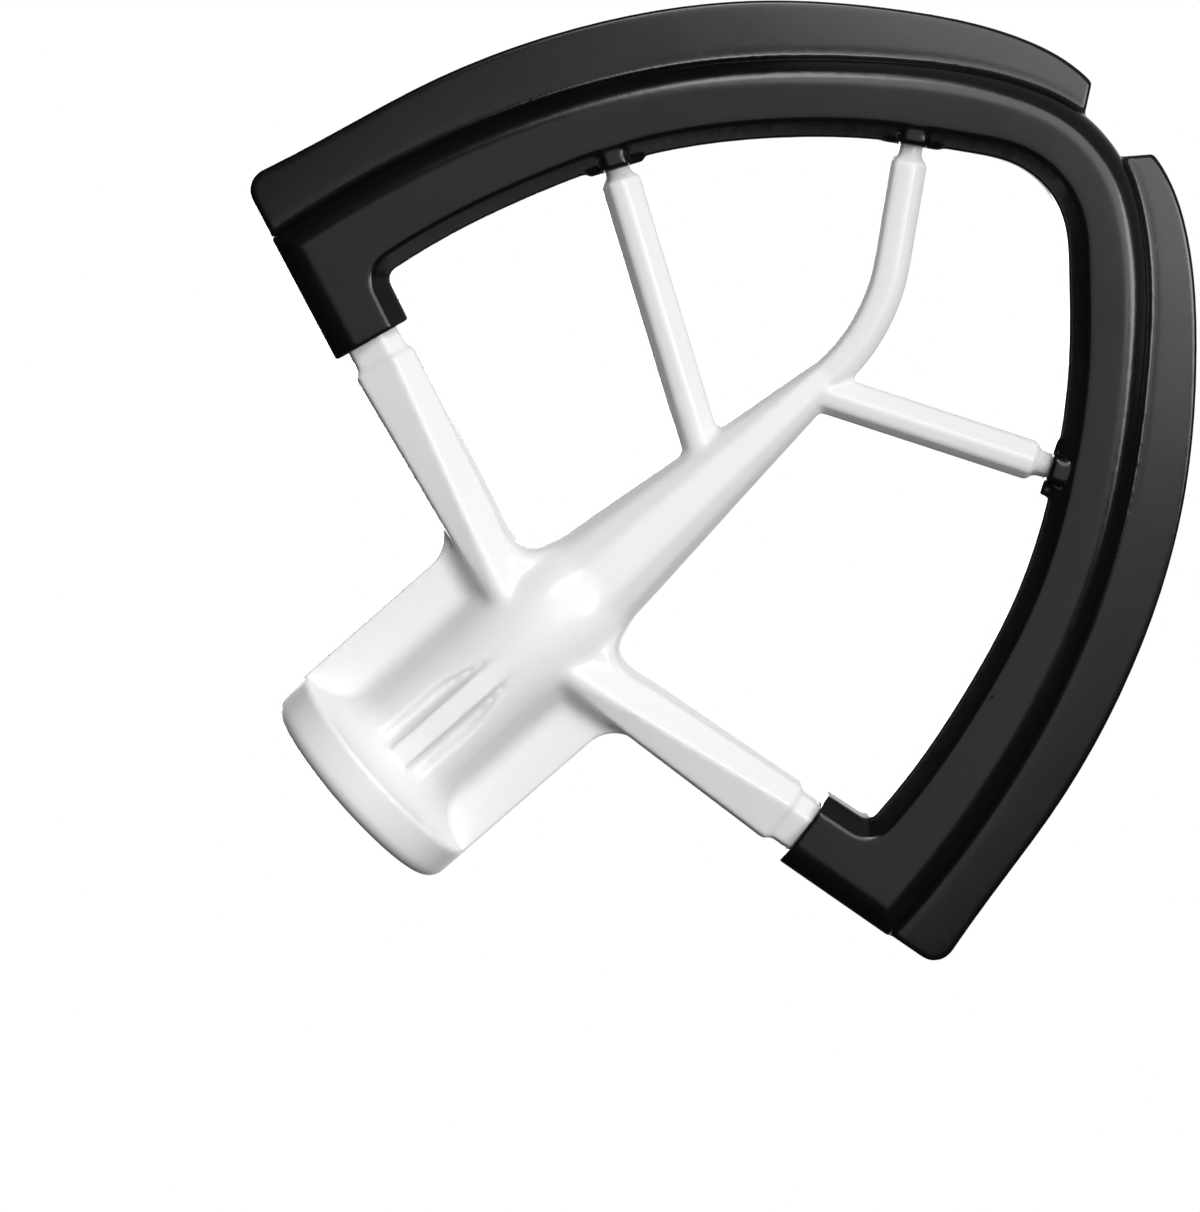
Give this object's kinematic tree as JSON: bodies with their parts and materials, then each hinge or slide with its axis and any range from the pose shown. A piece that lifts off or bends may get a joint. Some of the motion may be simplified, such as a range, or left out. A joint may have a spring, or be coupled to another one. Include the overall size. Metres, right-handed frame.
{
  "type": "stand mixer flat beater",
  "caption": "White coated flat beater for a tilt-head stand mixer, with a round bored hub, two arms, a bent spine with spokes, and a black flexible edge with outer fins.",
  "frame": {"origin": "centre of the drive bore's mouth, on the hub's top face", "axes": "+Z along the bore out of its mouth, +X in the blade's plane on the side that the spine bends to, +Y square to the blade, towards the bayonet slot"},
  "size_m": [0.1548, 0.0356, 0.1507],
  "materials": {
    "white_coating": "glossy white coating on a die casting",
    "black_rubber": "smooth satin black rubber"
  },
  "bodies": {
    "root": {"beater_frame": "white_coating", "flexible_edge": "black_rubber"}
  },
  "joints": []
}
